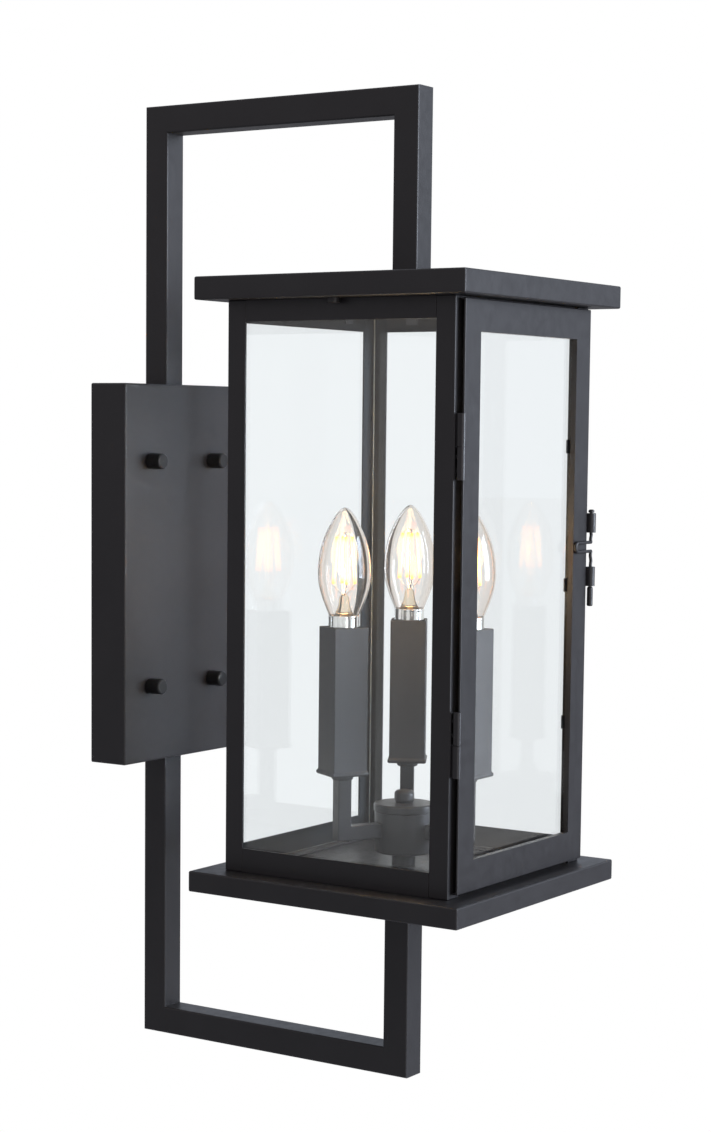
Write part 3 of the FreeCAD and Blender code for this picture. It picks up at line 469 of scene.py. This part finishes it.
def bracket_loop():
    """The welded square-tube loop: one piece for each tube, mitred and without a gap."""
    low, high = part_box("back_leg")
    side = high.x - low.x
    half = side / 2
    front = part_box("top_bar")[0].y + half
    back = high.y - half
    top = high.z - half
    bottom = low.z + half
    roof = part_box("upper_front_leg")[0].z
    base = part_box("lower_front_leg")[1].z
    forward = Vector((0, -1, 0))
    runs = {
        "back_leg": (Vector((0, back, top)), Vector((0, back, bottom)),
                     UP + forward, UP - forward),
        "top_bar": (Vector((0, back, top)), Vector((0, front, top)),
                    UP + forward, UP - forward),
        "bottom_bar": (Vector((0, back, bottom)), Vector((0, front, bottom)),
                       UP - forward, UP + forward),
        "upper_front_leg": (Vector((0, front, top)), Vector((0, front, roof)), UP - forward, UP),
        "lower_front_leg": (Vector((0, front, bottom)), Vector((0, front, base)), UP + forward, UP),
    }
    for node, (start, end, first_cut, last_cut) in runs.items():
        mesh_data = bmesh.new()
        square_tube(mesh_data, [start, end], SIDEWAYS, side, LOOP_CORNER * MM,
                    first_cut.normalized(), last_cut.normalized())
        finish_piece(node + "_tube", mesh_data, [node])


bracket_loop()


# ------------------------------------------------------------------ pieces from CAD shapes
def outside_of(node, skin=0.4):
    """A test for points on the edges of the node's own box, which is where folded corners are."""
    low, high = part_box(node)

    def test(point):
        near = 0
        for axis in range(3):
            if min(abs(point[axis] - low[axis]), abs(point[axis] - high[axis])) < skin * MM:
                near += 1
        return near >= 2
    return test


def ground_edges(piece, pane):
    """Gives the narrow sides of a pane the frosted look of cut and ground glass."""
    low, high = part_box(pane)
    size = high - low
    through = min(range(3), key=lambda axis: size[axis])
    piece.data.materials.append(GROUND_EDGE)
    for face in piece.data.polygons:
        if abs(face.normal[through]) < 0.5:
            face.material_index = 1


def plate_corner(point):
    """True on the back plate's outside edges, but not on those that lie against the wall."""
    return outside_of("backplate")(point) and point.y < -1 * MM


eased("backplate", 1.4, 0.25, plate_corner)
eased("mounting_strap", 0.4, 0.3)
for slab in ("roof_cap", "base_tray"):
    eased(slab, 1.2, 0.3, outside_of(slab))
for sheet in ("roof_ceiling", "base_bottom"):
    eased(sheet, 0.25)
for post in ("front_left_post", "front_right_post", "rear_left_post", "rear_right_post"):
    eased(post, 0.7, 0.2, outside_of(post))
for rail in ("top_rails", "bottom_rails"):
    eased(rail, 0.3)
eased("door_frame", 0.6, 0.25, outside_of("door_frame"))
for pane in ("left_glass", "right_glass", "rear_glass", "door_glass"):
    ground_edges(eased(pane, 0.25), pane)
for small in ("pane_clips", "door_clips", "post_hinge_leaves", "door_hinge_leaves", "hinge_screws",
              "latch_bracket", "latch_catch", "nipple_nuts", "roof_screws", "hinge_pins"):
    eased(small, 0.2)


# ------------------------------------------------------------------ candles
ARM_SIDE = 9.5
ARM_START = 15.8
ARM_CORNER = 0.7


def candle_arm(name, angle):
    """Square tube from the hub out under the candle and up to the lamp holder, mitred at the elbow."""
    low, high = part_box(name + "_arm")
    axis = middle_of("hub_body")
    foot = middle_of(name + "_socket")
    side = ARM_SIDE * MM
    level = low.z + side / 2
    outward = Vector((math.cos(math.radians(angle)), math.sin(math.radians(angle)), 0))
    start = Vector((axis.x, axis.y, level)) + outward * ARM_START * MM
    elbow = Vector((foot.x, foot.y, level))
    mesh_data = bmesh.new()
    square_tube(mesh_data, [start, elbow, Vector((foot.x, foot.y, high.z))], UP.cross(outward),
                side, ARM_CORNER * MM)
    finish_piece(name + "_arm_tube", mesh_data, [name + "_arm"])


def candle_sleeve(name, angle):
    """Square candle cover with a beaded skirt and a round boss under it."""
    low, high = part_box(name + "_sleeve")
    socket = middle_of(name + "_socket")
    centre = Vector((socket.x, socket.y, low.z))
    height = (high.z - low.z) / MM
    boss = 3.2
    wall, inner, bead, hole = 12.25, 11.05, 13.25, 4.9
    outline = [(hole, boss), (bead - 0.8, boss), (bead, boss + 0.8), (bead, boss + 2.2),
               (wall, boss + 3.4), (wall, height), (inner, height), (inner, boss + 1.2),
               (hole, boss + 1.2)]
    mesh_data = bmesh.new()
    square_stack(mesh_data, soften(outline, 0.5, 3, closed=True), 0.9, centre, angle, closed=True)
    boss_outline = [(0.0, 0.0), (6.4, 0.0), (7.2, 0.8), (7.2, boss), (0.0, boss)]
    lathe(mesh_data, soften(boss_outline, 0.4), centre, 48)
    finish_piece(name + "_sleeve_cover", mesh_data, [name + "_sleeve"])


# The bulb's glass from its neck to its drawn tip: shares of its height and of its widest radius.
BULB_OUTLINE = ((0.0, 0.575), (0.085, 0.715), (0.165, 0.835), (0.28, 0.96), (0.40, 1.0), (0.55, 0.953),
                (0.69, 0.826), (0.82, 0.61), (0.915, 0.395), (0.97, 0.215), (0.993, 0.09), (1.0, 0.0))


GLASS_WALL = 0.7


def envelope(shrink, widest, bottom, top):
    """Outline of the candle bulb's glass, in millimetres, drawn in by shrink."""
    points = [Vector((max(share * widest - shrink, 0.0), bottom + part * (top - shrink - bottom)))
              for part, share in BULB_OUTLINE]
    return smooth_line(points, 7)


def bulb(name):
    """Blown envelope, nickel cap with its screw shell, and the lit rods on their glass stem."""
    low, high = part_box(name + "_bulb_glass")
    cap_low, cap_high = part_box(name + "_bulb_cap")
    centre = Vector(((low.x + high.x) / 2, (low.y + high.y) / 2, 0))
    bottom = low.z / MM
    widest = (high.x - low.x) / 2 / MM
    mesh_data = bmesh.new()
    outside = envelope(0.0, widest, bottom, high.z / MM)
    inside = envelope(GLASS_WALL, widest, bottom, high.z / MM)
    lathe(mesh_data, outside + list(reversed(inside)), centre, 96, closed=True)
    finish_piece(name + "_bulb_envelope", mesh_data, [name + "_bulb_glass"])

    collar = cap_high.z / MM
    foot = cap_low.z / MM
    shell_top = collar - 14.6
    outline = [(0.0, collar - 3.0), (7.5, collar - 3.0), (7.7, collar - 0.4), (10.1, collar),
               (10.5, collar - 0.9), (10.2, collar - 1.8), (10.2, shell_top + 1.6),
               (10.5, shell_top + 0.9), (9.9, shell_top), (5.9, shell_top - 0.4)]
    turns = 5
    pitch = (shell_top - foot - 3.4) / turns
    for turn in range(turns):
        level = shell_top - 0.8 - turn * pitch
        outline += [(5.2, level), (5.9, level - pitch * 0.5)]
    outline += [(5.2, foot + 2.4), (4.4, foot + 1.4), (2.5, foot + 1.3), (2.3, foot + 0.3),
                (0.0, foot)]
    mesh_data = bmesh.new()
    lathe(mesh_data, soften(outline, 0.45), centre, 72)
    finish_piece(name + "_bulb_shell", mesh_data, [name + "_bulb_cap"])

    mesh_data = bmesh.new()
    rods(mesh_data, centre)
    finish_piece(name + "_light_rods", mesh_data, [name + "_bulb_filament"])
    mesh_data = bmesh.new()
    stem(mesh_data, centre, bottom)
    finish_piece(name + "_glass_stem", mesh_data, [name + "_bulb_filament"], STEM_GLASS,
                 slot="bulb_glass")
    mesh_data = bmesh.new()
    supports(mesh_data, centre)
    finish_piece(name + "_support_wires", mesh_data, [name + "_bulb_filament"],
                 MATERIALS["lamp_cap"], slot="lamp_cap")


def rod_ends(centre, index):
    """Foot and head of one of the light rods, which lean in towards the lamp's axis."""
    angle = math.radians(45 + 90 * index)
    out = Vector((math.cos(angle), math.sin(angle), 0))
    foot = centre + out * ROD_FOOT * MM + UP * ROD_LOW * MM
    head = centre + out * ROD_HEAD * MM + UP * ROD_HIGH * MM
    return foot, head


def rods(mesh_data, centre):
    """The light rods, each with slightly drawn-in ends."""
    for index in range(ROD_COUNT):
        foot, head = rod_ends(centre, index)
        steps = [foot.lerp(head, part) for part in (0.0, 0.02, 0.5, 0.98, 1.0)]
        round_bar(mesh_data, steps, ROD_RADIUS * MM, 16, ends=0.6)


def stem(mesh_data, centre, bottom):
    """The flared glass stem that carries the rods' wires."""
    outline = [(0.0, bottom - 2.6), (7.2, bottom - 2.4), (6.2, bottom + 0.6), (4.6, bottom + 4.0),
               (3.6, bottom + 7.5), (3.3, bottom + 10.5), (2.6, bottom + 12.8), (0.0, bottom + 13.6)]
    lathe(mesh_data, smooth_line([Vector(point) for point in outline], 3), centre, 32)


def supports(mesh_data, centre):
    """Wires from the stem to the feet of the rods, the mast, and the spider that joins their heads."""
    hub = centre + UP * (ROD_LOW - 8.0) * MM
    crown = centre + UP * (ROD_HIGH + 2.6) * MM
    round_bar(mesh_data, [hub, crown], 0.4 * MM, 8)
    for index in range(ROD_COUNT):
        foot, head = rod_ends(centre, index)
        wire = [hub, hub.lerp(foot, 0.6) - UP * 0.8 * MM, foot]
        round_bar(mesh_data, smooth_line(wire), 0.35 * MM, 8)
        spoke = [crown, head.lerp(crown, 0.4) + UP * 0.8 * MM, head]
        round_bar(mesh_data, smooth_line(spoke), 0.3 * MM, 8)


for candle, heading_angle in CANDLES.items():
    candle_arm(candle, heading_angle)
    candle_sleeve(candle, heading_angle)
    bulb(candle)


# ------------------------------------------------------------------ hub, stem and nuts
def hub():
    """The round drum under the candles, its lid and finial, and the tube that carries it."""
    axis = middle_of("stem_tube")
    centre = Vector((axis.x, axis.y, 0))
    low, high = (value.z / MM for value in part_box("hub_body"))
    mesh_data = bmesh.new()
    outline = [(0.0, low), (19.0, low), (19.8, low + 0.8), (19.8, high - 0.1), (0.0, high - 0.1)]
    lathe(mesh_data, soften(outline, 0.5), centre, 96)
    finish_piece("hub_drum", mesh_data, ["hub_body"])

    low, high = (value.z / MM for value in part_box("hub_lid"))
    mesh_data = bmesh.new()
    outline = [(18.5, low + 0.1), (19.9, low), (20.5, low + 0.5), (20.5, high - 1.2), (19.6, high),
               (0.0, high), (0.0, high - 2.0), (18.5, high - 2.0)]
    lathe(mesh_data, soften(outline, 0.5, 3, closed=True), centre, 96, closed=True)
    finish_piece("hub_cover", mesh_data, ["hub_lid"])

    low, high = (value.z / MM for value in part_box("hub_knob"))
    mesh_data = bmesh.new()
    outline = [(0.0, low), (5.6, low), (5.8, low + 1.2), (6.7, low + 1.9), (6.7, high - 2.2),
               (5.4, high - 0.6), (2.6, high), (0.0, high)]
    lathe(mesh_data, soften(outline, 0.8), centre, 64)
    finish_piece("hub_finial", mesh_data, ["hub_knob"])

    low, high = (value.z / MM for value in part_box("stem_tube"))
    mesh_data = bmesh.new()
    outline = [(5.2, low), (7.8, low), (7.8, high), (5.2, high)]
    lathe(mesh_data, soften(outline, 0.3, 3, closed=True), centre, 64, closed=True)
    finish_piece("stem_sleeve", mesh_data, ["stem_tube"])


hub()


NUT_RADIUS = 5.5


def cap_nuts():
    """Four domed-edge cylinders on the studs, each with a shallow turned face."""
    low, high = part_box("cap_nuts")
    radius = NUT_RADIUS
    length = (high.y - low.y) / MM
    mesh_data = bmesh.new()
    outline = [(2.6, 0.0), (radius - 0.4, 0.0), (radius, 0.4), (radius, length - 0.8),
               (radius - 0.7, length - 0.1), (radius - 1.0, length), (0.0, length),
               (0.0, length - 2.0), (2.6, length - 2.0)]
    for x in (low.x + radius * MM, high.x - radius * MM):
        for z in (low.z + radius * MM, high.z - radius * MM):
            lathe(mesh_data, soften(outline, 0.35, 3, closed=True), Vector((x, high.y, z)), 56,
                  closed=True, axis=Vector((0, -1, 0)))
    finish_piece("cap_nut_set", mesh_data, ["cap_nuts"])


cap_nuts()


# ------------------------------------------------------------------ latch
LATCH_WIRE_RADIUS = 1.1


def latch():
    """Bent-wire latch: a spindle that is kinked between its knuckles, a flat loop and a thumb tail."""
    low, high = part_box("latch_loop")
    spindle_x = high.x - 2.0 * MM
    spindle_y = (low.y + high.y) / 2
    knuckle_low, knuckle_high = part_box("latch_bracket")
    wire = LATCH_WIRE_RADIUS
    middle = (knuckle_low.z + knuckle_high.z) / 2 + 2.0 * MM
    rise = 3.0 * MM

    def at(x, z):
        """A point x millimetres to the right of the spindle, at height z in metres."""
        return Vector((spindle_x + x * MM, spindle_y, z))

    mesh_data = bmesh.new()
    kinks = [at(0, knuckle_low.z - 1.5 * MM), at(0, knuckle_low.z + 13.5 * MM),
             at(0.5, middle - 9.5 * MM), at(-0.4, middle - 6.0 * MM), at(0.2, middle - rise)]
    round_bar(mesh_data, smooth_line(kinks), wire * MM)
    kinks = [at(0.2, middle + rise), at(-0.4, middle + 5.0 * MM), at(0.4, middle + 8.0 * MM),
             at(0, knuckle_high.z - 12.5 * MM), at(0, knuckle_high.z + 2.4 * MM)]
    round_bar(mesh_data, smooth_line(kinks), wire * MM, ends=0.8)
    reach = spindle_x - low.x - wire * MM
    loop = [at(0.2, middle - rise)]
    for step in range(13):
        angle = -math.pi / 2 + math.pi * step / 12
        loop.append(Vector((spindle_x - reach + rise - math.cos(angle) * rise, spindle_y,
                            middle + math.sin(angle) * rise)))
    loop.append(at(0.2, middle + rise))
    round_bar(mesh_data, loop, wire * MM)
    tail = [(0.0, -15.2), (1.6, -15.0), (2.0, -14.4), (2.0, -3.0), (1.5, -2.0), (0.0, -1.6)]
    lathe(mesh_data, soften(tail, 0.4), at(0, 0), 32)
    head = [(0.0, 47.9), (1.8, 47.9), (2.0, 48.4), (2.0, 49.4), (1.2, 50.0), (0.0, 50.0)]
    lathe(mesh_data, soften(head, 0.3), at(0, 0), 32)
    finish_piece("latch_wire", mesh_data, ["latch_loop"])


latch()


# ------------------------------------------------------------------ studio
def seen_or_reflected(nodes, links, seen_colour, reflected_colour):
    """One colour seen directly or through glass, and another in what it lights or is mirrored in."""
    path = nodes.new("ShaderNodeLightPath")
    seen = nodes.new("ShaderNodeMath")
    seen.operation = "MAXIMUM"
    links.new(path.outputs["Is Camera Ray"], seen.inputs[0])
    links.new(path.outputs["Is Transmission Ray"], seen.inputs[1])
    return blend_colours(nodes, links, seen.outputs["Value"], reflected_colour, seen_colour)


def world():
    """White behind the object, and a dim surround for what the surfaces reflect."""
    studio = bpy.data.worlds.new("studio")
    studio.use_nodes = True
    nodes, links = studio.node_tree.nodes, studio.node_tree.links
    place = nodes.new("ShaderNodeTexCoord")
    split = nodes.new("ShaderNodeSeparateXYZ")
    links.new(place.outputs["Generated"], split.inputs["Vector"])
    across = nodes.new("ShaderNodeMapRange")
    across.inputs["From Min"].default_value = -0.5
    across.inputs["From Max"].default_value = 0.9
    across.interpolation_type = "SMOOTHSTEP"
    links.new(split.outputs["X"], across.inputs["Value"])
    surround = blend_colours(nodes, links, across.outputs["Result"], (0.40, 0.38, 0.405),
                             (0.50, 0.54, 0.62))
    colour = seen_or_reflected(nodes, links, (1.0, 1.0, 1.0), surround)
    links.new(colour, nodes["Background"].inputs["Color"])
    bpy.context.scene.world = studio


def softbox(name, place, target, size, power, colour=(1, 1, 1)):
    """A rectangular area light aimed at a point; it lights but isn't seen."""
    light = bpy.data.lights.new(name, "AREA")
    light.shape = "RECTANGLE"
    light.size, light.size_y = size
    light.energy = power
    light.color = colour
    lamp = bpy.data.objects.new(name, light)
    lamp.location = place
    lamp.rotation_euler = (Vector(target) - Vector(place)).to_track_quat("-Z", "Y").to_euler()
    lamp.visible_camera = False
    bpy.context.scene.collection.objects.link(lamp)


def lamp_glow(name):
    """The warm light that the rods throw on the posts, the sleeves and the plate."""
    light = bpy.data.lights.new(name + "_glow", "POINT")
    light.energy = 0.36
    light.color = (1.0, 0.66, 0.32)
    light.shadow_soft_size = 0.012
    lamp = bpy.data.objects.new(name + "_glow", light)
    place = middle_of(name + "_bulb_glass")
    lamp.location = (place.x, place.y, 0.016)
    lamp.visible_camera = False
    lamp.visible_transmission = False
    bpy.context.scene.collection.objects.link(lamp)
    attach(lamp, name + "_bulb")


FLOOR_DROP = 0.45
FLOOR_RADIUS = 30


def floor():
    """A plain pale floor, well below the lantern, which hangs on a wall."""
    mesh_data = bmesh.new()
    bmesh.ops.create_circle(mesh_data, cap_ends=True, radius=FLOOR_RADIUS, segments=96)
    mesh = bpy.data.meshes.new("floor")
    mesh_data.to_mesh(mesh)
    mesh_data.free()
    plane = bpy.data.objects.new("floor", mesh)
    plane.location.z = CAD_BOX[0].z - FLOOR_DROP
    material, nodes, links, shader = new_material("pale_floor")
    mottle = blend_colours(nodes, links, object_noise(nodes, links, 6.0, 2.0), (0.26, 0.26, 0.265),
                           (0.30, 0.30, 0.305))
    links.new(seen_or_reflected(nodes, links, (0.0, 0.0, 0.0), mottle), shader.inputs["Base Color"])
    shader.inputs["Specular IOR Level"].default_value = 0.0
    shader.inputs["Roughness"].default_value = 0.7
    glow = seen_or_reflected(nodes, links, (1, 1, 1), (0.10, 0.10, 0.105))
    links.new(glow, shader.inputs["Emission Color"])
    shader.inputs["Emission Strength"].default_value = 1.0
    mesh.materials.append(material)
    bpy.context.scene.collection.objects.link(plane)


def camera():
    """To the left of the front and a little above the middle, looking slightly down."""
    azimuth, elevation, roll = math.radians(-56.58), math.radians(5.3), math.radians(0.6)
    data = bpy.data.cameras.new("camera")
    data.sensor_width = 36.0
    data.lens = 74.2
    data.shift_y = 0.0707
    data.dof.use_dof = False
    back = Vector((math.sin(azimuth) * math.cos(elevation), -math.cos(azimuth) * math.cos(elevation),
                   math.sin(elevation)))
    viewer = bpy.data.objects.new("camera", data)
    viewer.location = (-1.3127, -1.0456, 0.1018)
    aim = (-back).to_track_quat("-Z", "Y")
    viewer.rotation_mode = "QUATERNION"
    viewer.rotation_quaternion = aim @ Matrix.Rotation(roll, 3, "Z").to_quaternion()
    bpy.context.scene.collection.objects.link(viewer)
    bpy.context.scene.camera = viewer


world()
floor()
camera()
for candle in CANDLES:
    lamp_glow(candle)
softbox("key_box", (1.0, -2.5, 0.5), (0, -0.15, 0.0), (1.2, 1.8), 90.0, (0.80, 0.87, 1.0))
softbox("edge_box", (-1.15, -1.85, -0.15), (0, -0.15, 0.0), (0.3, 1.3), 4.0, (1.0, 0.95, 0.90))
softbox("top_box", (-0.3, -0.3, 2.4), (0, -0.15, 0.0), (2.0, 2.0), 9.0)
bpy.context.scene.view_settings.view_transform = "Standard"
